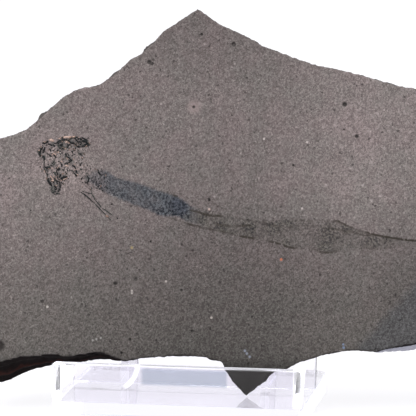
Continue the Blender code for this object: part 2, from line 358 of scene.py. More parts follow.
# The animal's body and tail: a dark film of decayed soft parts on the bedding
# face, only colour, drawn by its upper and lower edges and how dense it is.
FILM_TOP = (
    (-31.2, 8.2), (-29.4, 8.7), (-27.9, 9.4), (-26.0, 9.5), (-24.3, 8.7), (-22.9, 7.7), (-20.8, 7.2),
    (-17.1, 6.2), (-12.5, 4.5), (-8.0, 3.1), (-6.1, 2.0), (-4.4, 0.8), (-2.0, 0.0), (1.8, -1.0),
    (6.8, -2.0), (11.8, -2.6), (15.5, -3.2), (19.2, -2.8), (32.0, -3.0), (34.2, -3.9), (38.0, -5.2),
    (43.0, -6.4), (48.0, -7.3), (52.0, -7.9), (60.0, -8.6),
)
FILM_BOTTOM = (
    (-31.2, 6.8), (-29.6, 5.9), (-28.1, 5.0), (-24.8, 3.1), (-19.1, 0.8), (-13.8, -1.2), (-11.7, -2.1),
    (-7.8, -2.3), (-5.7, -3.2), (-1.3, -4.8), (4.2, -6.2), (10.5, -7.8), (15.5, -8.2), (19.2, -9.5),
    (22.2, -10.2), (25.5, -9.4), (28.5, -10.8), (30.5, -11.0), (34.2, -10.5), (37.5, -10.0),
    (44.2, -10.0), (48.0, -9.0), (52.0, -8.8), (60.0, -9.0),
)
FILM_DENSITY = (
    (-31.5, 0.0), (-29.6, 0.36), (-28.2, 0.5), (-26.0, 0.64), (-23.0, 0.78), (-14.0, 0.84), (-9.0, 1.0),
    (-5.6, 1.0), (-4.0, 0.6), (-2.0, 0.5), (2.0, 0.44), (6.0, 0.36), (12.0, 0.3), (18.0, 0.34),
    (23.0, 0.26), (29.0, 0.32), (34.0, 0.34), (38.0, 0.26), (44.0, 0.28), (50.0, 0.18), (58.0, 0.0),
)
# Patches where the tail's film is thicker, as (across, up, radius) in mm.
TAIL_PATCHES = (
    (-5.0, -2.7, 1.0), (-1.4, -2.6, 1.3), (3.2, -4.6, 1.5), (10.4, -5.2, 1.7), (16.4, -4.2, 2.3),
    (20.0, -3.4, 1.2), (19.5, -8.6, 1.0), (30.3, -6.2, 2.3), (29.2, -9.4, 1.6), (34.6, -4.9, 1.5),
    (41.0, -8.6, 1.9), (44.6, -7.6, 1.2),
)
# Darker lines in it, each as a course over the face, how strong it is there and
# how wide it is.
DARK_LINES = (
    (
        ((-10.2, 3.9), (-8.0, 2.9), (-4.5, -0.5), (-2.6, -1.0), (0.1, -1.8), (3.3, -2.0), (12.5, -3.4),
         (15.2, -3.5), (20.9, -3.3), (23.5, -3.0), (26.3, -3.1), (31.8, -3.1), (34.6, -4.2),
         (38.2, -5.6), (39.8, -6.0), (43.6, -6.9), (47.6, -7.5), (52.0, -8.0), (58.0, -8.6)),
        ((-10.2, 0.7), (-7.4, 0.8), (-6.5, 0.0), (-4.9, 0.0), (-4.3, 0.8), (3.0, 0.9), (4.2, 0.0),
         (12.0, 0.15), (15.0, 0.3), (16.0, 0.0), (20.5, 0.2), (24.0, 0.5), (27.0, 0.1), (31.5, 0.5),
         (33.0, 0.9), (35.5, 0.5), (38.5, 0.4), (40.0, 0.95), (50.0, 1.0), (58.0, 0.0)),
        0.28,
    ),
    (
        ((1.0, -3.5), (3.3, -4.3), (7.4, -4.5), (10.6, -4.2), (14.0, -3.9), (17.9, -4.6), (20.3, -4.8),
         (22.3, -4.4), (26.9, -4.6), (31.5, -5.2), (36.0, -5.8), (38.2, -6.5), (42.0, -6.6)),
        ((1.0, 0.2), (2.6, 0.5), (6.5, 0.6), (10.4, 0.6), (11.2, 0.0), (16.0, 0.3), (18.5, 0.1),
         (21.0, 0.4), (23.0, 0.1), (25.5, 0.35), (28.0, 0.1), (30.5, 0.5), (35.0, 0.5), (38.5, 0.7),
         (42.0, 0.0)),
        0.3,
    ),
    (
        ((-11.0, -1.9), (-4.7, -4.1), (-1.6, -4.9), (1.4, -5.5), (4.9, -6.1), (8.1, -7.0), (11.2, -7.5),
         (15.4, -8.3), (17.9, -8.9), (19.8, -9.6), (21.7, -9.9), (25.0, -9.8), (28.3, -10.9),
         (30.5, -11.0), (32.5, -10.5), (34.6, -10.6), (38.2, -9.9), (41.8, -10.0), (45.6, -9.6),
         (49.2, -8.5)),
        ((-11.0, 0.3), (-5.5, 0.4), (-4.5, 0.9), (-1.8, 0.8), (-1.0, 0.3), (0.5, 0.7), (1.7, 0.3),
         (4.0, 0.75), (5.8, 0.3), (7.2, 0.4), (9.0, 0.95), (11.4, 0.9), (12.6, 0.25), (15.0, 0.5),
         (17.8, 0.95), (21.6, 0.85), (23.0, 0.1), (27.5, 0.5), (30.0, 0.8), (32.0, 0.4), (36.0, 0.1),
         (40.0, 0.35), (44.0, 0.2), (49.2, 0.0)),
        0.28,
    ),
)
FARTHEST_UP = 15.0
FILM_RAGGEDNESS = 1.6
FILM_EDGE = (-0.3, 0.75)
BODY_STARTS = (-31.2, -29.0)
BODY_THICKENS = (-16.0, -9.0)
BODY_ENDS = (-3.4, -5.4)
TAIL_STARTS = (-6.0, -3.5)


def make_film():
    group, outlet = new_group(
        "body_and_tail_film",
        {"Film": "Float", "Granules": "Float", "Patches": "Float", "Lines": "Float"},
    )
    spot = use_group(group, face_place)
    place, across, up = spot["Place"], spot["Across"], spot["Up"]
    on_face = fade(spot["Depth"], 0.9, 0.5)
    ragged = scaled(grain(place, 1.1, 4.0, 0.7), FILM_RAGGEDNESS, -FILM_RAGGEDNESS / 2)
    top = drawn_curve(across, FILM_TOP, -FARTHEST_UP, FARTHEST_UP)
    bottom = drawn_curve(across, FILM_BOTTOM, -FARTHEST_UP, FARTHEST_UP)
    over_bottom = calc("SUBTRACT", up, bottom)
    inside = calc("MINIMUM", calc("SUBTRACT", top, up), over_bottom)
    soft_edge = fade(calc("ADD", inside, ragged), *FILM_EDGE)
    density = drawn_curve(across, FILM_DENSITY, 0.0, 1.0)
    film = times(soft_edge, density, on_face)
    patchy = scaled(grain(place, 0.35, 3.0), 0.9, 0.55)
    film = calc("MULTIPLY", film, patchy, clamp=True)

    askew = shifted(place, (40.0, 4.0, 9.0), turn=(0.4, 0.9, 0.6))
    clots = fade(grain(askew, 1.75, 2.0, 0.6), 0.5, 0.57)
    how_thick = scaled(fade(across, *BODY_THICKENS), 0.3, 0.55)
    how_thick = scaled(fade(over_bottom, 2.0, 0.5), 0.25, how_thick)
    in_body = times(how_thick, fade(across, *BODY_ENDS))
    patch = near_any(place, TAIL_PATCHES, 1.0, 0.6)
    in_tail = times(scaled(patch, 0.42, 0.22), fade(across, *TAIL_STARTS))
    thick = times(calc("MAXIMUM", in_body, in_tail), soft_edge)
    thick = times(thick, on_face, fade(across, *BODY_STARTS))
    granules = times(thick, clots)
    patches = times(patch, soft_edge, on_face)

    lines = 0.0
    broken = fade(grain(shifted(askew, (0.0, 5.0, 70.0)), 1.4, 3.0), 0.35, 0.47)
    for course, strength, width in DARK_LINES:
        level = drawn_curve(across, course, -FARTHEST_UP, FARTHEST_UP)
        wander = scaled(ragged, 0.16, calc("SUBTRACT", up, level))
        line = fade(calc("ABSOLUTE", wander), width * 1.5, width * 0.5)
        line = times(line, drawn_curve(across, strength, 0.0, 1.0))
        start, end = course[0][0], course[-1][0]
        line = times(line, between(across, start - 0.2, start, end, end + 0.2))
        lines = calc("MAXIMUM", lines, line)
    lines = times(lines, broken, on_face)
    feed(outlet, {"Film": film, "Granules": granules, "Patches": patches, "Lines": lines})
    return group


# The rock's look: fine grain, the slow change from pinkish grey to dark olive
# grey, the stain at the lower right, specks, marks and pits, with painted light and
# shade laid over the face and its edges.
PALE_ROCK = (0.214, 0.172, 0.17)
CLOUDED_ROCK = (0.185, 0.162, 0.155)
OLIVE_ROCK = (0.17, 0.158, 0.142)
PINK_ROCK = (0.265, 0.205, 0.2)
STAINED_ROCK = (0.066, 0.065, 0.069)
PALE_FLECK = (0.42, 0.34, 0.32)
DARK_FLECK = (0.05, 0.05, 0.045)
BONE_DUST = (0.062, 0.064, 0.06)
BODY_FILM = (0.063, 0.071, 0.085)
BODY_DARK_END = (0.026, 0.033, 0.052)
TAIL_FILM = (0.07, 0.063, 0.053)
CLOT = (0.007, 0.008, 0.012)
LINE_IN_FILM = (0.022, 0.018, 0.013)
GREEN_GRAIN = (0.15, 0.165, 0.16)
DARK_SPECK = (0.03, 0.028, 0.026)
LIGHT_SPECK = (0.36, 0.31, 0.29)
PIT_SHADOW = (0.014, 0.013, 0.012)
BREAK_LINE_SHADE = (0.03, 0.028, 0.029)
DARK_BED = (0.03, 0.027, 0.026)
PALE_BED = (0.085, 0.075, 0.072)
FRACTURE_BLACK_AND_SHADE = (0.009, 0.007, 0.007)
FRACTURE_RUST = (0.09, 0.022, 0.015)
UNDERSIDE_LIGHT = (0.46, 0.46, 0.54)
BACK_LEVEL = 1.25
# Grey-green bone dust between the skull's splinters, as (across, up, radius) in mm.
BONE_STAINS = (
    (-37.2, 16.0, 1.0), (-36.3, 15.3, 1.1), (-33.0, 15.9, 1.0), (-31.3, 16.1, 1.1), (-34.6, 16.7, 0.8),
    (-42.2, 13.8, 0.8), (-41.2, 12.6, 0.6), (-35.3, 12.7, 0.9), (-34.6, 11.6, 0.8), (-37.5, 9.7, 0.6),
    (-40.4, 9.7, 0.7), (-38.7, 5.2, 0.9), (-38.5, 4.2, 1.0), (-37.4, 5.6, 0.6), (-39.8, 6.8, 0.6),
    (-37.3, 8.0, 0.7), (-36.2, 7.6, 0.7), (-38.8, 11.0, 0.7), (-33.0, 8.6, 0.6), (-30.2, 7.3, 0.8),
    (-39.0, 15.8, 0.7), (-37.6, 14.2, 0.5), (-32.1, 13.6, 0.7), (-38.4, 6.6, 0.8),
)
BLACK_GRAIN = (0.01, 0.01, 0.01)
BROWN_GRAIN = (0.03, 0.02, 0.02)
PINK_GRAIN = (0.4, 0.3, 0.27)
ORANGE_GRAIN = (0.42, 0.13, 0.07)
YELLOW_GRAIN = (0.24, 0.19, 0.1)
BLUE_GRAIN = (0.15, 0.2, 0.3)
DEEP_BLUE_GRAIN = (0.14, 0.19, 0.29)
LIGHT_SCRATCH = (0.4, 0.36, 0.34)
PALE_SCRATCH = (0.4, 0.35, 0.34)
GREY_SCRATCH = (0.36, 0.32, 0.3)
WARM_SCRATCH = (0.36, 0.33, 0.31)
BLUE_SCRATCH = (0.2, 0.22, 0.27)
DULL_SCRATCH = (0.26, 0.25, 0.24)
HOLE_SHADOW = (0.006, 0.004, 0.004)
# Small marks in the face, as (across, up, radius, colour): dark grains, an orange,
# a yellow and a blue one, light scratches, and the painted shadow in a small hole
# at the lower left.
MARKS = (
    (0.2, 2.3, 0.24, BLACK_GRAIN), (0.3, 1.9, 0.24, BLACK_GRAIN), (2.3, 0.4, 0.2, BROWN_GRAIN),
    (0.3, -0.3, 0.24, PINK_GRAIN), (18.35, -12.8, 0.27, ORANGE_GRAIN), (19.3, -12.6, 0.2, BROWN_GRAIN),
    (-19.0, -10.0, 0.3, YELLOW_GRAIN), (33.9, -33.9, 0.22, BLUE_GRAIN),
    (34.0, -34.7, 0.26, DEEP_BLUE_GRAIN), (-40.0, -24.9, 0.26, LIGHT_SCRATCH),
    (-10.4, -18.4, 0.24, GREY_SCRATCH), (1.0, -27.4, 0.26, GREY_SCRATCH),
    (13.9, 17.4, 0.24, PALE_SCRATCH), (24.7, 16.6, 0.24, PALE_SCRATCH), (23.5, 0.0, 0.22, PALE_SCRATCH),
    (-18.9, -20.8, 0.22, WARM_SCRATCH), (-18.9, -21.4, 0.2, WARM_SCRATCH),
    (9.4, -35.6, 0.26, BLUE_SCRATCH), (9.9, -36.3, 0.26, BLUE_SCRATCH), (10.6, -37.1, 0.24, BLUE_SCRATCH),
    (-28.6, -33.2, 0.22, DULL_SCRATCH), (-27.7, -32.9, 0.22, DULL_SCRATCH),
    (-26.6, -32.6, 0.22, DULL_SCRATCH), (-51.9, -34.6, 1.1, HOLE_SHADOW),
)
PIT_WITH_HALO = (-3.7, 25.3)
SKULL_MIDDLE = (-36.0, 10.5)
CRUSHED_MIDDLE = (-35.5, 10.8)
BODY_END = (-7.2, 0.7)
# The stain lies beyond a slanting line over the lower right of the face.
STAIN_SLANT = (0.741, -0.671)
STAIN_LINE = (51.2, 54.0)
# Where on the face and in its edges a look starts and where it is full, in mm.
LOWER_FACE = (28.0, -12.0)
UPPER_FACE = (-20.0, 8.0)
RIGHT_OF_FACE = (8.0, 48.0)
OLIVE_UP = (6.0, -34.0)
BODY_TO_TAIL = (-6.0, 0.0)
FRACTURE_UP = (-31.0, -33.5)
FRACTURE_ACROSS = (-18.0, -21.0)
UNDERSIDE_ACROSS = (40.0, 43.0)
EDGE_DEPTH = (0.12, 0.3)
RUST_SEAM_DEPTH = 3.4
RUST_SEAM_WIDTH = (0.32, 0.08)
# Painted light and shade: how bright the rock is made, as (mm up or across the
# face, level). It is darkest low down and at the tip, in painted shadow behind the
# stand's front wall.
LIGHT_AND_SHADE_UP_THE_FACE = (
    (-48.0, 0.14), (-42.0, 0.17), (-38.8, 0.3), (-36.5, 0.46), (-22.0, 0.53), (-14.5, 0.575),
    (-6.5, 0.65), (1.5, 0.735), (9.5, 0.77), (25.5, 0.77), (33.5, 0.73), (41.5, 0.65), (50.0, 0.62),
)
LIGHT_AND_SHADE_ACROSS_THE_FACE = (
    (-60.0, 1.27), (-50.0, 1.26), (-37.0, 1.17), (-25.0, 1.07), (-12.0, 0.97), (0.0, 0.88), (12.0, 0.89),
    (25.0, 1.01), (37.0, 1.08), (50.0, 0.95), (75.0, 0.95),
)


def make_rock_look():
    group, outlet = new_group(
        "mudstone_look", {"Color": "Color", "Height": "Float", "Roughness": "Float"}
    )
    spot = use_group(group, face_place)
    place, across, depth, up = spot["Place"], spot["Across"], spot["Depth"], spot["Up"]
    askew = shifted(place, (3.3, 7.7, 1.1), turn=(0.7, 0.5, 0.9))
    sand = grain(askew, 1.5, 4.0, 0.72)
    silt = grain(shifted(askew, (11.0, 3.0, 5.0)), 6.5, 2.0, 0.6)
    flecks = grain(shifted(askew, (20.0, 0.0, 20.0)), 2.0, 2.0, 0.6)
    cloud = grain(shifted(place, (2.0, 0.0, 30.0)), 0.09, 4.0, 0.6)
    mottle = grain(shifted(place, (60.0, 0.0, 3.0)), 0.5, 3.0, 0.6)
    at_back = fade(painted(group, "split_back"), 0.45, 0.9)

    # Painted light and shade over the face: darker low down and at the tip inside the
    # stand, lighter to the upper right; the split back takes one fixed level.
    level = drawn_curve(up, LIGHT_AND_SHADE_UP_THE_FACE, 0.0, 1.2)
    light_and_shade_sideways = drawn_curve(across, LIGHT_AND_SHADE_ACROSS_THE_FACE, 0.5, 1.5)
    low_down = scaled(fade(up, *LOWER_FACE), 0.7, 0.3)
    light_and_shade_sideways = scaled(calc("SUBTRACT", light_and_shade_sideways, 1.0), low_down, 1.0)
    painted_light_upper_right = times(fade(across, *RIGHT_OF_FACE), fade(up, *UPPER_FACE))
    level = times(level, light_and_shade_sideways, scaled(painted_light_upper_right, 0.24, 1.0))
    level = scaled(at_back, calc("SUBTRACT", BACK_LEVEL, level), level)

    # The ground colour, with crushed rock and bone dust round the skull.
    colour = tint(fade(cloud, 0.3, 0.7), PALE_ROCK, CLOUDED_ROCK)
    olive = fade(scaled(cloud, 14.0, up), *OLIVE_UP)
    colour = stained(colour, olive, 0.6, OLIVE_ROCK)
    round_skull = near_spot(place, SKULL_MIDDLE, 9.0, 0.55)
    colour = stained(colour, round_skull, 0.25, PINK_ROCK)
    crushed = near_spot(place, CRUSHED_MIDDLE, 6.2, 0.35)
    pale_flecks = times(fade(flecks, 0.5, 0.66), crushed)
    colour = stained(colour, pale_flecks, 0.6, PALE_FLECK)
    dark_flecks = times(fade(flecks, 0.46, 0.32), crushed)
    colour = stained(colour, dark_flecks, 0.55, DARK_FLECK)
    dust = near_any(place, BONE_STAINS, 1.0, 0.5)
    dust = times(dust, fade(flecks, 0.36, 0.52))
    colour = stained(colour, dust, 0.8, BONE_DUST)
    # The painted light and shade is laid over the ground colour here.
    colour = shaded(colour, level)
    slant = scaled(up, STAIN_SLANT[1], times(across, STAIN_SLANT[0]))
    stain = fade(scaled(mottle, 3.0, slant), *STAIN_LINE)
    colour = stained(colour, stain, 0.75, STAINED_ROCK)

    # The film of the body and tail, then the grains over it and its clots and lines.
    film = use_group(group, make_film())
    film_colour = tint(fade(across, *BODY_TO_TAIL), BODY_FILM, TAIL_FILM)
    dark_end = times(near_spot(place, BODY_END, 2.3, 0.5), film["Film"])
    film_colour = stained(film_colour, dark_end, 0.75, BODY_DARK_END)
    colour = stained(colour, film["Film"], 0.9, film_colour)
    colour = stained(colour, film["Patches"], 0.42, TAIL_FILM)
    pebble = each_grain(askew, 3.1)
    colour = stained(colour, pebble, 0.12, GREEN_GRAIN)
    specked = scaled(pebble, 0.56, 0.575)
    for grains, contrast, darkest in ((sand, 1.1, 0.43), (silt, 1.8, 0.1), (mottle, 0.35, 0.825)):
        specked = times(specked, scaled(grains, contrast, darkest))
    bright_grain = each_grain(shifted(askew, (5.0, 5.0, 5.0)), 2.4)
    specked = scaled(fade(bright_grain, 0.99, 0.994), 0.45, specked)
    dark_grain = each_grain(shifted(askew, (9.0, 2.0, 6.0)), 2.0)
    specked = times(specked, scaled(fade(dark_grain, 0.012, 0.008), -0.5, 1.0))
    colour = shaded(colour, specked)
    colour = tint(film["Granules"], colour, CLOT)
    colour = stained(colour, film["Lines"], 0.88, LINE_IN_FILM)

    # Specks strewn over the face, the single marks, painted shadow in the pits and a
    # painted shade line along the broken rim.
    dark_specks = grain(shifted(place, (0.0, 0.0, 50.0)), 1.7, 1.0)
    colour = stained(colour, fade(dark_specks, 0.73, 0.8), 0.75, DARK_SPECK)
    light_specks = grain(shifted(place, (90.0, 0.0, 0.0)), 1.9, 1.0)
    colour = stained(colour, fade(light_specks, 0.76, 0.83), 0.7, LIGHT_SPECK)
    pale_ring = near_spot(place, PIT_WITH_HALO, 1.4, 0.8)
    colour = stained(colour, pale_ring, 0.5, PINK_ROCK)
    for *middle, radius, mark_colour in MARKS:
        mark = near_spot(place, middle, radius * 1.2, 0.4)
        colour = stained(colour, mark, 0.8, mark_colour)
    painted_dark_patch = near_any(place, PITS, 1.25, 0.35)
    colour = stained(colour, painted_dark_patch, 0.92, PIT_SHADOW)
    # A thin painted shade line along the face's broken rim.
    rim_shade = fade(painted(group, "near_break"), 0.35, 0.95)
    rim_shade = times(rim_shade, fade(depth, 0.7, 0.4))
    colour = stained(colour, rim_shade, 0.75, BREAK_LINE_SHADE)

    # The broken edges show the bedding as thin bands. Low on the left a fracture
    # painted near black, partly its own dark colour and partly painted shade, with a
    # rusty seam; low on the right painted shade on the broken edges and painted light
    # on the underside.
    bands = grain(shifted(place, (0.0, 0.0, 0.0), (0.1, 4.0, 0.1)), 1.0, 3.0, 0.7)
    edge = fade(depth, *EDGE_DEPTH)
    banded = tint(fade(bands, 0.35, 0.65), DARK_BED, PALE_BED)
    broken_edge = times(edge, scaled(at_back, -0.75, 0.95))
    colour = tint(broken_edge, colour, shaded(banded, specked))
    # The low left fracture: its own near-black colour together with painted shade.
    low = times(fade(up, *FRACTURE_UP), fade(at_back, 0.7, 0.3))
    dark_shaded_fracture = times(edge, low, fade(across, *FRACTURE_ACROSS), 0.97)
    from_seam = calc("ABSOLUTE", calc("SUBTRACT", depth, RUST_SEAM_DEPTH))
    rusty = stained(FRACTURE_BLACK_AND_SHADE, fade(from_seam, *RUST_SEAM_WIDTH), 0.22, FRACTURE_RUST)
    colour = tint(dark_shaded_fracture, colour, rusty)
    # Painted shade on the broken edges low on the right.
    rightmost = times(low, fade(across, *UNDERSIDE_ACROSS))
    colour = stained(colour, times(rightmost, edge), 0.95, FRACTURE_BLACK_AND_SHADE)
    # Painted light on the underside low on the right, in pale bands.
    under_crack = scaled(bands, -2.0, scaled(mottle, -5.0, depth))
    underside_light = times(rightmost, fade(under_crack, -1.7, -1.3), scaled(bands, 0.7, 0.5))
    colour = stained(colour, underside_light, 0.85, UNDERSIDE_LIGHT)
    height = scaled(silt, 0.4, sand)
    height = scaled(painted_dark_patch, -1.5, height)
    height = scaled(times(bands, edge), 1.6, height)
    rough = scaled(dark_shaded_fracture, 0.08, scaled(film["Film"], -0.2, 0.92))
    feed(outlet, {"Color": colour, "Height": height, "Roughness": rough})
    return group


ROCK_BUMP = 0.06 * MM
ROCK_SHINE = 0.12
stone, tree, shader = new_material("mudstone")
rock_look = use_group(tree, make_rock_look())
feed(shader, {
    "Base Color": rock_look["Color"], "Roughness": rock_look["Roughness"],
    "Specular IOR Level": ROCK_SHINE, "Normal": bumped(rock_look["Height"], ROCK_BUMP),
})
slab.data.materials.append(stone)
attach(slab, "root")
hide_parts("slab")

# The skull: a thin crushed mosaic of near-black mineralised bone, set flush in
# the face, with its splinters standing a little proud of the rock. Some are drawn
# one by one, and the finest are strewn between them.

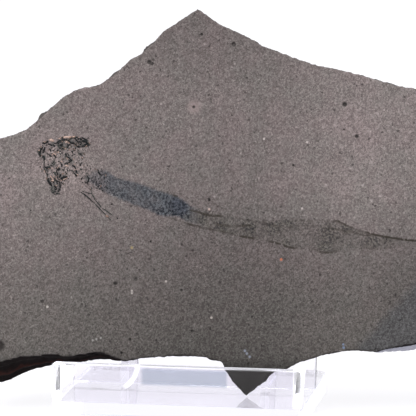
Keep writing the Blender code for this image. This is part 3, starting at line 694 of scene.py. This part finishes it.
# Each splinter is its thickness in mm, its shade (0 black, 0.35 grey green, 0.6 red
# brown, 1 pale pink) and its course on the face in mm.
SKULL_SPLINTERS = (
    (0.45, 0.95, (-37.6, 17.25), (-36.2, 17.6), (-35.0, 17.65), (-33.9, 17.7), (-32.5, 17.6)),
    (0.6, 0.9, (-39.9, 17.0), (-39.2, 16.8), (-38.7, 16.6)),
    (0.5, 0.0, (-38.0, 16.35), (-37.4, 16.75), (-36.8, 16.9), (-36.2, 17.0), (-35.7, 16.85), (-35.4, 17.15)),
    (0.6, 0.0, (-35.4, 17.15), (-35.1, 16.8), (-34.8, 16.5), (-34.3, 16.2), (-33.8, 16.15), (-33.3, 15.9)),
    (0.5, 0.0, (-33.4, 15.9), (-33.0, 15.5), (-32.5, 15.25), (-31.9, 15.2)),
    (0.4, 0.1, (-35.0, 17.2), (-34.5, 17.35), (-33.9, 17.45), (-33.4, 17.3), (-33.1, 17.0), (-32.9, 16.7)),
    (0.45, 0.0, (-32.9, 17.1), (-32.4, 17.25), (-32.0, 17.0), (-31.6, 17.1)),
    (0.4, 0.0, (-31.8, 17.6), (-31.3, 17.35), (-30.8, 17.1), (-30.3, 16.9)),
    (0.4, 0.1, (-30.3, 17.5), (-30.05, 17.35)),
    (0.65, 0.0, (-31.7, 16.7), (-31.1, 16.65), (-30.6, 16.4), (-30.1, 16.15), (-29.6, 15.85)),
    (0.5, 0.05, (-29.6, 15.8), (-30.1, 15.65), (-30.7, 15.5), (-31.3, 15.4), (-31.9, 15.3)),
    (0.5, 0.0, (-31.1, 16.0), (-30.8, 15.75), (-30.4, 15.9)),
    (0.4, 0.1, (-32.3, 16.6), (-31.9, 16.3), (-31.9, 16.0), (-32.2, 15.7)),
    (0.35, 0.05, (-33.0, 16.7), (-32.4, 16.4), (-32.2, 16.9)),
    (0.35, 0.85, (-33.2, 16.3), (-32.8, 16.1)),
    (0.4, 0.3, (-37.8, 15.9), (-37.6, 15.3), (-37.3, 14.9), (-36.7, 14.7), (-36.1, 14.8), (-35.5, 15.0),
     (-35.1, 15.4), (-35.0, 15.9)),
    (0.35, 0.3, (-37.1, 15.1), (-36.6, 15.3), (-36.2, 15.25), (-35.8, 15.0)),
    (0.6, 0.1, (-37.2, 15.8), (-36.8, 15.6), (-36.5, 16.0)),
    (0.4, 0.1, (-37.9, 16.1), (-37.4, 16.2), (-36.9, 16.4), (-36.3, 16.5)),
    (0.35, 0.9, (-35.9, 16.2), (-35.4, 16.5), (-34.9, 16.1), (-34.7, 15.4)),
    (0.35, 0.3, (-34.6, 15.9), (-34.3, 15.3), (-34.5, 14.7)),
    (0.5, 0.0, (-41.7, 16.0), (-41.5, 16.35), (-41.2, 16.1), (-40.9, 15.9)),
    (0.6, 0.0, (-40.85, 16.1), (-40.5, 16.4), (-40.1, 16.65)),
    (0.4, 0.0, (-40.3, 15.95), (-39.8, 15.8), (-39.4, 15.6), (-39.1, 15.5)),
    (0.45, 0.0, (-38.9, 15.8), (-38.7, 15.5), (-38.4, 15.3)),
    (0.35, 0.1, (-38.8, 16.1), (-38.4, 16.1), (-38.0, 16.2)),
    (0.5, 0.0, (-41.6, 15.2), (-41.8, 14.8), (-42.0, 14.5), (-42.2, 14.1), (-42.2, 13.6), (-42.1, 13.1),
     (-42.2, 12.6)),
    (0.5, 0.0, (-40.9, 15.1), (-41.1, 14.6), (-41.2, 14.2), (-41.3, 13.75), (-41.6, 13.8)),
    (0.5, 0.3, (-42.9, 14.1), (-42.4, 14.0), (-42.2, 13.4)),
    (0.5, 0.0, (-41.6, 12.9), (-41.3, 12.7), (-41.1, 12.3), (-41.1, 11.9)),
    (0.3, 0.4, (-41.1, 11.6), (-41.2, 11.0), (-41.2, 10.5)),
    (0.5, 0.0, (-40.9, 10.2), (-40.6, 9.95), (-40.3, 9.8), (-40.0, 9.9), (-39.5, 9.9)),
    (0.35, 0.1, (-40.3, 10.4), (-40.1, 10.0)),
    (0.5, 0.1, (-41.1, 9.5), (-40.9, 9.1), (-40.7, 8.75)),
    (0.3, 0.3, (-40.5, 8.6), (-40.3, 8.1), (-40.3, 7.6)),
    (0.35, 0.15, (-42.2, 10.4), (-42.0, 10.05)),
    (0.3, 0.45, (-41.9, 9.8), (-41.7, 9.3), (-41.6, 8.9)),
    (0.6, 0.0, (-40.3, 7.4), (-40.1, 6.8), (-39.9, 6.4), (-39.6, 5.9), (-39.1, 5.4)),
    (0.45, 0.0, (-39.3, 7.1), (-38.8, 6.5), (-38.5, 6.1)),
    (0.4, 0.05, (-38.6, 7.3), (-38.1, 6.8), (-37.8, 6.3), (-37.9, 5.8)),
    (0.35, 0.9, (-39.6, 7.9), (-39.1, 7.3), (-38.7, 6.7)),
    (0.35, 0.85, (-38.8, 7.9), (-38.4, 7.4), (-38.0, 7.0)),
    (0.4, 0.0, (-38.7, 5.7), (-38.3, 5.2), (-38.0, 4.7), (-38.3, 4.4)),
    (0.4, 0.0, (-37.9, 8.8), (-37.7, 8.4), (-37.95, 8.1), (-37.7, 7.6), (-37.4, 6.9)),
    (0.5, 0.0, (-36.9, 8.3), (-37.1, 7.9), (-37.4, 7.5)),
    (0.6, 0.0, (-37.0, 7.1), (-36.6, 7.4), (-36.2, 7.6), (-35.7, 7.65), (-35.3, 7.6)),
    (0.35, 0.7, (-36.2, 8.6), (-36.6, 8.3)),
    (0.35, 0.9, (-36.9, 6.7), (-36.3, 6.95), (-35.6, 7.2)),
    (0.4, 0.0, (-37.3, 6.9), (-37.2, 6.3), (-37.1, 5.7), (-37.1, 5.0), (-37.3, 4.4), (-37.4, 3.8)),
    (0.4, 0.1, (-39.1, 3.7), (-38.6, 3.45)),
    (0.45, 0.0, (-38.1, 3.6), (-37.7, 3.4), (-37.4, 3.5)),
    (0.3, 0.35, (-39.5, 4.4), (-39.1, 4.9), (-38.9, 5.3)),
    (0.3, 0.3, (-38.9, 4.3), (-38.5, 3.9), (-38.1, 4.1)),
    (0.4, 0.5, (-36.4, 6.2), (-36.2, 5.6)),
    (0.45, 0.0, (-39.9, 13.3), (-39.6, 12.9), (-39.3, 12.7)),
    (0.4, 0.05, (-39.2, 13.5), (-38.8, 13.2), (-38.4, 12.8), (-38.1, 12.4)),
    (0.35, 0.85, (-38.9, 13.7), (-38.5, 13.5), (-38.1, 13.1)),
    (0.55, 0.0, (-37.9, 14.3), (-37.5, 14.2)),
    (0.35, 0.25, (-37.3, 14.1), (-36.9, 14.1)),
    (0.4, 0.3, (-37.3, 13.45), (-36.9, 13.4)),
    (0.4, 0.0, (-35.9, 13.6), (-35.6, 13.2), (-35.7, 12.8), (-35.3, 12.6), (-34.9, 12.5), (-34.6, 12.2),
     (-34.3, 11.8), (-34.1, 11.6)),
    (0.3, 0.2, (-35.4, 13.7), (-35.1, 13.3), (-34.8, 12.9)),
    (0.45, 0.0, (-34.3, 14.2), (-34.0, 13.9), (-33.9, 13.5)),
    (0.3, 0.2, (-33.9, 14.3), (-33.6, 14.2), (-33.4, 14.7), (-33.2, 15.1)),
    (0.4, 0.25, (-32.8, 14.45), (-32.4, 14.4)),
    (0.4, 0.2, (-32.5, 13.7), (-32.2, 13.4), (-31.7, 13.5)),
    (0.35, 0.45, (-31.3, 13.8), (-31.1, 13.4), (-31.0, 13.2)),
    (0.35, 0.15, (-35.0, 11.9), (-34.7, 11.6), (-34.3, 11.6)),
    (0.4, 0.2, (-36.1, 10.8), (-35.5, 11.1), (-35.0, 11.1), (-34.6, 11.3)),
    (0.3, 0.9, (-35.9, 10.5), (-34.9, 10.4)),
    (0.35, 0.1, (-36.9, 12.1), (-36.6, 12.0)),
    (0.35, 0.1, (-37.6, 11.6), (-37.3, 11.4)),
    (0.35, 0.05, (-37.1, 11.4), (-36.9, 11.0), (-36.7, 10.6), (-36.6, 10.1)),
    (0.35, 0.9, (-37.0, 11.7), (-36.6, 11.3)),
    (0.35, 0.15, (-36.3, 10.0), (-35.8, 9.9)),
    (0.6, 0.0, (-38.1, 9.9), (-37.7, 9.6), (-37.4, 9.3)),
    (0.4, 0.05, (-37.2, 9.5), (-37.4, 9.9)),
    (0.3, 0.9, (-37.6, 10.4), (-37.4, 10.1)),
    (0.4, 0.1, (-34.1, 10.4), (-33.8, 10.3), (-33.5, 10.3), (-33.3, 9.9), (-33.2, 9.7)),
    (0.4, 0.1, (-33.1, 9.4), (-33.0, 9.0), (-33.0, 8.8)),
    (0.45, 0.0, (-33.4, 8.3), (-33.1, 8.0), (-32.7, 7.95)),
    (0.3, 0.85, (-32.9, 8.3), (-32.6, 8.1)),
    (0.3, 0.3, (-34.0, 9.4), (-33.9, 9.0), (-33.6, 9.2)),
    (0.3, 0.25, (-32.3, 10.6), (-32.0, 10.5), (-31.8, 10.8)),
    (0.35, 0.3, (-32.2, 9.8), (-31.9, 9.5), (-31.6, 9.6)),
    (0.3, 0.3, (-39.1, 10.9), (-38.8, 11.4), (-38.5, 11.7)),
    (0.3, 0.3, (-38.9, 10.6), (-38.6, 10.9), (-38.4, 11.4)),
    (0.35, 0.35, (-38.6, 9.0), (-38.4, 8.4), (-38.2, 7.9)),
    (0.3, 0.25, (-35.5, 9.7), (-35.2, 9.3), (-35.4, 9.1)),
    (0.3, 0.3, (-36.6, 9.6), (-36.2, 9.3), (-35.9, 9.6)),
    (0.3, 0.3, (-39.7, 14.6), (-39.4, 14.2), (-39.6, 13.9)),
)
SPLINTER_FLATNESS = 0.4
SPLINTER_CHIPPING = 0.06 * MM
CHIPPING_SIZE = 0.28 * MM
JAGGEDNESS = 0.06
UNEVENNESS = (0.6, 1.2)
END_TAPER = 0.4
MIDDLE_TAPER = 0.95
CHIP_REACH = (0.25, 0.7)
CHIP_THICKNESS = (0.5, 0.85)
CHIP_STRAY = 0.3
DARK_SHADES = (0.0, 0.05, 0.1, 0.2, 0.3)
PALE_SHADES = (0.66, 0.78, 0.9)
BONE_COLOURS = (
    (0.16, (0.006, 0.007, 0.008)), (0.4, (0.045, 0.05, 0.045)),
    (0.62, (0.13, 0.075, 0.055)), (1.0, (0.42, 0.3, 0.255)),
)
BONE_BUMP = 0.05 * MM
BONE_SHINE = 0.15


def chips(spots, count, size, shades, seed):
    """Small stray splinters, each a short course on one of the given spots."""
    chance = random.Random(seed)
    made = []
    for x, z in chance.sample(spots, count):
        turn = chance.uniform(0.0, math.pi)
        half = chance.uniform(*CHIP_REACH) * size
        x += chance.uniform(-CHIP_STRAY, CHIP_STRAY)
        z += chance.uniform(-CHIP_STRAY, CHIP_STRAY)
        reach_x, reach_z = half * math.cos(turn), half * math.sin(turn)
        made.append((
            chance.uniform(*CHIP_THICKNESS) * size, chance.choice(shades),
            (x - reach_x, z - reach_z), (x + reach_x, z + reach_z),
        ))
    return tuple(made)


def splinters(name, drawn, seed):
    """Tapered, flattened, chipped slivers of bone, half sunk in the face."""
    chance = random.Random(seed)
    outline = bpy.data.curves.new(name, "CURVE")
    outline.dimensions = "3D"
    outline.bevel_depth = 1.0
    outline.bevel_resolution = 2
    outline.use_fill_caps = True
    for thickness, _, *course in drawn:
        jagged = [course[0]]
        for (x, z), (next_x, next_z) in zip(course, course[1:]):
            for share in (0.33, 0.67, 1.0):
                jagged.append((
                    x + (next_x - x) * share + chance.uniform(-JAGGEDNESS, JAGGEDNESS),
                    z + (next_z - z) * share + chance.uniform(-JAGGEDNESS, JAGGEDNESS),
                ))
        spline = outline.splines.new("POLY")
        spline.points.add(len(jagged) - 1)
        for index, (point, (x, z)) in enumerate(zip(spline.points, jagged)):
            taper = END_TAPER if index in (0, len(jagged) - 1) else MIDDLE_TAPER
            point.co = (x * MM, 0.0, z * MM, 1.0)
            point.radius = thickness * MM / 2 * taper * chance.uniform(*UNEVENNESS)
    curve_object = bpy.data.objects.new(name, outline)
    bpy.context.scene.collection.objects.link(curve_object)
    make_active(curve_object)
    bpy.ops.object.convert(target="MESH")
    made = bpy.context.object
    for vertex in made.data.vertices:
        rough = noise.noise_vector(vertex.co / CHIPPING_SIZE + Vector((seed, 0.0, 0.0)))
        vertex.co.y *= SPLINTER_FLATNESS
        vertex.co += rough * SPLINTER_CHIPPING
    return made


def set_in_face(name, drawn, seed):
    """Splinters posed on the slab, each shaded by the drawn course it lies nearest to."""
    made = splinters(name, drawn, seed)
    shades = made.data.attributes.new("shade", "FLOAT", "POINT")
    for vertex, shade in zip(made.data.vertices, shades.data):
        x, _, z = vertex.co / MM
        nearest = min(
            drawn, key=lambda item: min(math.hypot(x - px, z - pz) for px, pz in item[2:])
        )
        shade.value = nearest[1]
    pose_as_slab(made)
    bpy.ops.object.shade_smooth()
    made.data.materials.append(bone)
    return made


bone, tree, shader = new_material("dark_bone")
bone_place = use_group(tree, face_place)["Place"]
blotch = grain(bone_place, 1.6, 4.0, 0.65)
bone_shade = scaled(calc("SUBTRACT", blotch, 0.5), 0.9, painted(tree, "shade"))
bone_colour = node("ValToRGB", {"Fac": bone_shade})["Color"]
stops = bone_colour.node.color_ramp.elements
stops[0].position = BONE_COLOURS[0][0]
for position, _ in BONE_COLOURS[1:-1]:
    stops.new(position)
for stop, (_, shade_colour) in zip(stops, BONE_COLOURS):
    stop.color = (*shade_colour, 1.0)
feed(shader, {
    "Base Color": bone_colour, "Roughness": scaled(blotch, 0.4, 0.4),
    "Specular IOR Level": BONE_SHINE,
    "Normal": bumped(grain(bone_place, 5.0, 3.0), BONE_BUMP),
})

to_face = slab_pose.inverted()
skull_spots = [(to_face @ vertex.co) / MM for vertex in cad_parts["skull"].data.vertices]
skull_spots = [(spot.x, spot.z) for spot in skull_spots if spot.y < 0.0]
SKULL_SPLINTERS += chips(skull_spots, 125, 0.38, DARK_SHADES, 5)
SKULL_SPLINTERS += chips(skull_spots, 55, 0.36, PALE_SHADES, 6)
skull = set_in_face("skull_splinters", SKULL_SPLINTERS, 3)
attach(skull, "root")
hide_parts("skull")

# The shoulder: a few broken bones of the same dark mineral behind the skull, with
# small crumbs of bone strewn between them, pressed into the face.
SHOULDER_SPLINTERS = (
    (0.36, 0.05, (-30.3, 8.0), (-29.9, 7.3), (-29.9, 6.6), (-30.6, 6.1), (-31.0, 6.6)),
    (0.4, 0.2, (-31.5, 7.6), (-31.8, 7.0)),
    (0.45, 0.1, (-27.8, 9.6), (-27.4, 8.8), (-26.9, 8.1)),
    (0.5, 0.0, (-28.1, 6.4), (-27.8, 6.3)),
    (0.5, 0.05, (-27.6, 5.5), (-27.4, 5.1)),
    (0.5, 0.0, (-27.3, 4.8), (-26.9, 4.6)),
    (0.5, 0.0, (-26.5, 4.4), (-26.3, 4.1)),
    (0.45, 0.1, (-25.5, 5.1), (-25.2, 4.9)),
    (0.45, 0.1, (-26.8, 6.1), (-26.6, 5.8)),
    (0.4, 0.15, (-26.1, 6.6), (-25.8, 6.4)),
    (0.45, 0.35, (-30.5, 8.7), (-30.2, 8.5)),
)
shoulder_spots = [
    (-31.5 + 1.15 * column + 0.3 * (row % 2), 10.5 - 0.85 * row - 0.28 * column)
    for column in range(6) for row in range(7)
]
SHOULDER_SPLINTERS += chips(shoulder_spots, 30, 0.42, (0.0, 0.1, 0.2, 0.3, 0.6), 8)
shoulder = set_in_face("shoulder_splinters", SHOULDER_SPLINTERS, 7)
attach(shoulder, "root")

# The forelimb: two thin rays of the same dark bone that hang from the shoulder
# over the face, each a chain of slender pieces lying end to end.
FORELIMB_BONES = (
    (0.36, 0.15, (-32.0, 3.9), (-31.2, 3.4), (-30.7, 3.1), (-29.7, 2.2), (-28.9, 1.5)),
    (0.3, 0.25, (-28.8, 1.4), (-27.2, -0.2), (-25.8, -1.7), (-24.9, -2.6)),
    (0.28, 0.4, (-24.9, -2.5), (-24.1, -3.3)),
    (0.27, 0.2, (-31.7, 4.2), (-30.6, 3.8), (-29.7, 3.5), (-29.1, 3.5)),
    (0.28, 0.3, (-29.1, 5.2), (-29.3, 4.3), (-29.1, 3.5)),
    (0.27, 0.3, (-29.1, 3.4), (-28.6, 2.6), (-28.3, 1.9), (-27.5, 1.1), (-26.6, 0.0)),
    (0.28, 0.35, (-26.5, -0.1), (-24.9, -1.2), (-23.8, -2.0)),
    (0.38, 0.15, (-22.9, -2.5), (-22.5, -2.8)),
    (0.28, 0.7, (-25.3, -2.0), (-24.8, -2.3)),
)
forelimb = set_in_face("forelimb_bones", FORELIMB_BONES, 11)
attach(forelimb, "root")

# The stand: one clear plastic moulding with a base, a front wall, two end webs and
# a back rest. Its edges are slightly rounded, the rim of its front wall is nearly
# half round, and its sides are a little scuffed.
EDGE_ROUNDING = 0.25 * MM
RIM_ROUNDING = 0.85 * MM
RIM_HEIGHT = 15.0 * MM
SAME_HEIGHT = 0.05 * MM
WEB_TOP = 14.0 * MM
WEB_DEPTH = 9.0 * MM
WEB_SLOPE = 1.7 * MM
LEFT_WEB_INNER_SIDE = 25.0 * MM
CORNER_REACH = 0.2 * MM
RIM_LENGTH = 20.0 * MM
RIM_THICKNESS = 3.0 * MM
EDGE_LIGHT = 0.3
END_LIGHT = 0.3
SIDE_LIGHT = 0.35
RIPPLE_LIGHT = 0.25
CLEAR_TINT = (0.94, 0.93, 0.965)
REFLECTION_BAND_TINT = (0.625, 0.665, 0.735)
DEEP_TINT = (0.77, 0.785, 0.95)
DEEP_TINT_DENSITY = 7.0
EDGE_GLOW = (0.95, 0.96, 1.0)
DULL_MIRROR = (0.2, 0.2, 0.2)
PLASTIC_IOR = 1.49
SMUDGE_SIZE = 0.12
SMUDGE_ROUGHNESS = 0.02
CLEAR_ROUGHNESS = 0.008
SCUFF_ROUGHNESS = 0.22

# Where things are on the stand, in mm from its middle and its foot.
FRONT_WALL_FRONT = -25.0
FRONT_WALL_BACK = -22.9
WEB_BACK = -15.8
WEB_INNER_SIDE = 29.0
BASE_TOP = 5.0
HALF_WIDTH = 30.8
# Curved ripples of the front wall, drawn only as rings of painted glow, as
# (centre across, centre up, outer radius, width) in mm.
RIPPLES = ((-16.5, 15.2, 7.5, 1.2), (-32.3, 15.2, 7.6, 0.6))
RING_EDGE = 0.15
RING_OPENS = (2.8, 4.2)
RIM_STARTS = (14.4, 14.8)
SCUFFS_END = (34.0, 30.0)
# From where to where the ripples' painted glow and the band of painted reflection
# show: they begin at the first value, are full from the second to the third, and
# end at the fourth.
RIPPLES_UP = (8.4, 9.4, 14.4, 14.6)
REFLECTION_BAND_ACROSS = (-9.2, -8.0, 12.2, 13.0)
REFLECTION_BAND_UP = (9.8, 10.4, 14.0, 14.3)

stand = merged_copy("stand", "clear_stand")
bpy.ops.object.mode_set(mode="EDIT")
bpy.ops.mesh.select_all(action="SELECT")
bpy.ops.mesh.dissolve_limited(angle_limit=math.radians(1))
bpy.ops.mesh.select_all(action="DESELECT")
bpy.ops.object.mode_set(mode="OBJECT")
front_of_stand = min(vertex.co.y for vertex in stand.data.vertices)
for vertex in stand.data.vertices:
    on_left_web = vertex.co.x < -LEFT_WEB_INNER_SIDE
    at_back_corner = abs(vertex.co.y - front_of_stand - WEB_DEPTH) < CORNER_REACH
    vertex.select = on_left_web and at_back_corner and vertex.co.z > WEB_TOP
bpy.ops.object.mode_set(mode="EDIT")
bpy.ops.mesh.select_mode(type="VERT")
bpy.ops.transform.translate(value=(0.0, 0.0, -WEB_SLOPE))
bpy.ops.mesh.select_all(action="DESELECT")
bpy.ops.mesh.select_mode(type="EDGE")
bpy.ops.object.mode_set(mode="OBJECT")
for edge in stand.data.edges:
    first, second = (stand.data.vertices[index].co for index in edge.vertices)
    level = all(abs(end.z - RIM_HEIGHT) < SAME_HEIGHT for end in (first, second))
    along = abs(first.x - second.x) > RIM_LENGTH
    edge.select = level and along and max(first.y, second.y) < front_of_stand + RIM_THICKNESS
bpy.ops.object.mode_set(mode="EDIT")
bpy.ops.mesh.bevel(offset=RIM_ROUNDING, segments=6, affect="EDGES")
bpy.ops.object.mode_set(mode="OBJECT")
rounding = stand.modifiers.new("rounded_edges", "BEVEL")
rounding.width = EDGE_ROUNDING
rounding.segments = 3
rounding.limit_method = "ANGLE"
rounding.angle_limit = math.radians(35)
bpy.ops.object.modifier_apply(modifier=rounding.name)
bpy.ops.object.shade_smooth_by_angle(angle=math.radians(32))
true_flats = stand.modifiers.new("true_flats", "WEIGHTED_NORMAL")
true_flats.keep_sharp = True
bpy.ops.object.modifier_apply(modifier=true_flats.name)

plastic, tree, shader = new_material("clear_plastic")
in_mm = {0: node("TexCoord", tree=tree)["Object"], "Scale": 1.0 / MM}
stand_place = node("VectorMath", in_mm, operation="SCALE")["Vector"]
across, depth, up = node("SeparateXYZ", {"Vector": stand_place})
from_middle = calc("ABSOLUTE", across)

# The rim, the webs, the base's sides and the ripples carry a faint light of their
# own, in place of the light that such edges gather.
on_wall = fade(depth, FRONT_WALL_BACK + 0.2, FRONT_WALL_BACK)
on_rim = times(fade(up, *RIM_STARTS), on_wall)
web_depth = (FRONT_WALL_FRONT + 0.1, FRONT_WALL_FRONT + 0.3, WEB_BACK, WEB_BACK + 0.4)
on_webs = fade(from_middle, WEB_INNER_SIDE - 0.2, WEB_INNER_SIDE)
on_webs = times(on_webs, between(depth, *web_depth), fade(up, BASE_TOP, BASE_TOP + 0.4))
on_sides = fade(from_middle, HALF_WIDTH - 0.3, HALF_WIDTH - 0.05)
on_sides = times(on_sides, fade(up, BASE_TOP + 0.2, BASE_TOP - 0.2))
flattened = shifted(stand_place, (0.0, 0.0, 0.0), (1.0, 0.0, 1.0))
ripple_glow = 0.0
for x, z, radius, width in RIPPLES:
    inner, outer = radius - width, radius
    limits = (inner - RING_EDGE, inner + RING_EDGE, outer - RING_EDGE, outer)
    ring = between(how_far(flattened, (x, z)), *limits)
    ring = times(ring, fade(across, x + RING_OPENS[0], x + RING_OPENS[1]))
    ripple_glow = calc("MAXIMUM", ripple_glow, ring)
ripple_glow = times(ripple_glow, on_wall, between(up, *RIPPLES_UP))
gathered = times(on_rim, EDGE_LIGHT)
for lit, light in ((on_webs, END_LIGHT), (on_sides, SIDE_LIGHT), (ripple_glow, RIPPLE_LIGHT)):
    gathered = scaled(lit, light, gathered)

# A blue-grey band of painted reflection laid into the front wall's colour.
painted_dark_patch = times(between(across, *REFLECTION_BAND_ACROSS), between(up, *REFLECTION_BAND_UP), on_wall)
smudges = fade(grain(stand_place, SMUDGE_SIZE, 4.0, 0.6), 0.5, 0.75)
scuffed = times(fade(from_middle, HALF_WIDTH - 0.4, HALF_WIDTH), fade(up, *SCUFFS_END))
scuffed = calc("MAXIMUM", scuffed, on_rim)
rough = scaled(smudges, SMUDGE_ROUGHNESS, CLEAR_ROUGHNESS)
feed(shader, {
    "Base Color": tint(painted_dark_patch, CLEAR_TINT, REFLECTION_BAND_TINT),
    "Roughness": scaled(scuffed, SCUFF_ROUGHNESS, rough),
    "IOR": PLASTIC_IOR, "Transmission Weight": 1.0, "Specular Tint": DULL_MIRROR,
    "Emission Color": EDGE_GLOW, "Emission Strength": gathered,
})
deep = {"Color": DEEP_TINT, "Density": DEEP_TINT_DENSITY}
inside_plastic = node("VolumeAbsorption", deep, tree=tree)["Volume"]
feed(tree.nodes["Material Output"].inputs, {"Volume": inside_plastic})
stand.data.materials.append(plastic)
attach(stand, "root")
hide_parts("stand")

# The table: a plain pale floor, lit a little from inside so that it is as white as
# the room. It glows less in mirrored rays.
FLOOR_SIZE = 8.0
FLOOR_LEVEL = -0.03 * MM
FLOOR_COLOUR = (0.22, 0.22, 0.225)
FLOOR_ROUGHNESS = 0.6
FLOOR_SHINE = 0.1
FLOOR_LIGHT = (0.98, 0.975, 1.0)
FLOOR_GLOW = 0.78
FLOOR_GLOW_LOST_IN_REFLECTIONS = 0.75
bpy.ops.mesh.primitive_plane_add(size=FLOOR_SIZE, location=(0.0, 0.0, FLOOR_LEVEL))
floor = bpy.context.object
floor.name = "floor"
floor_paint, tree, shader = new_material("pale_floor")
ray = node("LightPath", tree=tree)
mirrored = times(ray["Is Glossy Ray"], ray["Is Reflection Ray"])
feed(shader, {
    "Base Color": FLOOR_COLOUR, "Roughness": FLOOR_ROUGHNESS, "Specular IOR Level": FLOOR_SHINE,
    "Emission Color": FLOOR_LIGHT,
    "Emission Strength": scaled(mirrored, -FLOOR_GLOW_LOST_IN_REFLECTIONS, FLOOR_GLOW),
})
floor.data.materials.append(floor_paint)

# The room: plain soft light from all round, white behind and above and dimmer in
# front, and white wherever the camera sees it, also through the plastic.
ROOM_COLOUR = (0.99, 0.99, 1.0)
ROOM_BRIGHT_SIDE = (0.0, 0.85, 0.55)
DIM_FRONT = 0.3
GLOW_THROUGH_PLASTIC = 1.15
room = bpy.data.worlds.new("white_room")
room.use_nodes = True
tree = room.node_tree
ways = {0: node("TexCoord", tree=tree)["Generated"], 1: ROOM_BRIGHT_SIDE}
facing = node("VectorMath", ways, operation="DOT_PRODUCT")["Value"]
ray = node("LightPath", tree=tree)
looked_through = calc("SUBTRACT", ray["Is Transmission Ray"], ray["Diffuse Depth"], clamp=True)
seen = scaled(looked_through, GLOW_THROUGH_PLASTIC, ray["Is Camera Ray"])
brightness = scaled(fade(facing, -0.6, 0.35), 1.0 - DIM_FRONT, DIM_FRONT)
brightness = calc("MAXIMUM", brightness, seen)
feed(tree.nodes["Background"].inputs, {"Color": ROOM_COLOUR, "Strength": brightness})
bpy.context.scene.world = room
bpy.context.scene.view_settings.view_transform = "Standard"

# Two soft lamps, as (name, place in m, tilt and turn in degrees, width and length
# in m, watts).
LAMPS = (
    ("overhead_lamp", (0.0, -0.12, 0.7), 8, 0, 0.25, 0.25, 3.0),
    ("soft_lamp", (-0.25, -0.55, 0.75), 38, -24, 0.7, 0.5, 7.0),
)
for name, lamp_place, tilt, turn, width, length, watts in LAMPS:
    lamp_turn = (math.radians(tilt), 0.0, math.radians(turn))
    bpy.ops.object.light_add(type="AREA", location=lamp_place, rotation=lamp_turn)
    lamp = bpy.context.object
    lamp.name = name
    lamp.data.shape = "RECTANGLE"
    lamp.data.size = width
    lamp.data.size_y = length
    lamp.data.energy = watts

# Light is mirrored many times inside clear plastic before it comes out again.
BOUNCES_IN_PLASTIC = 24
bpy.context.scene.cycles.max_bounces = BOUNCES_IN_PLASTIC
bpy.context.scene.cycles.glossy_bounces = BOUNCES_IN_PLASTIC
bpy.context.scene.cycles.transmission_bounces = BOUNCES_IN_PLASTIC

# The camera looks at the middle of the slab's face from a little above and a
# little to the right of the stand's front, with the photograph's narrow view.
VIEW_AZIMUTH = math.radians(9.6)
VIEW_ELEVATION = math.radians(8.7)
VIEW_DISTANCE = 0.8
FACE_ACROSS_VIEW = 104 * MM
SENSOR = 36.0
away_from_face = Vector((
    math.sin(VIEW_AZIMUTH) * math.cos(VIEW_ELEVATION),
    -math.cos(VIEW_AZIMUTH) * math.cos(VIEW_ELEVATION),
    math.sin(VIEW_ELEVATION),
))
bpy.ops.object.camera_add(
    location=slab_pose.translation + away_from_face * VIEW_DISTANCE,
    rotation=(math.pi / 2 - VIEW_ELEVATION, 0.0, VIEW_AZIMUTH),
)
camera = bpy.context.object
camera.name = "camera"
camera.data.sensor_width = SENSOR
camera.data.lens = SENSOR * VIEW_DISTANCE / FACE_ACROSS_VIEW
camera.data.clip_start = 0.01
camera.data.clip_end = 20.0
bpy.context.scene.camera = camera
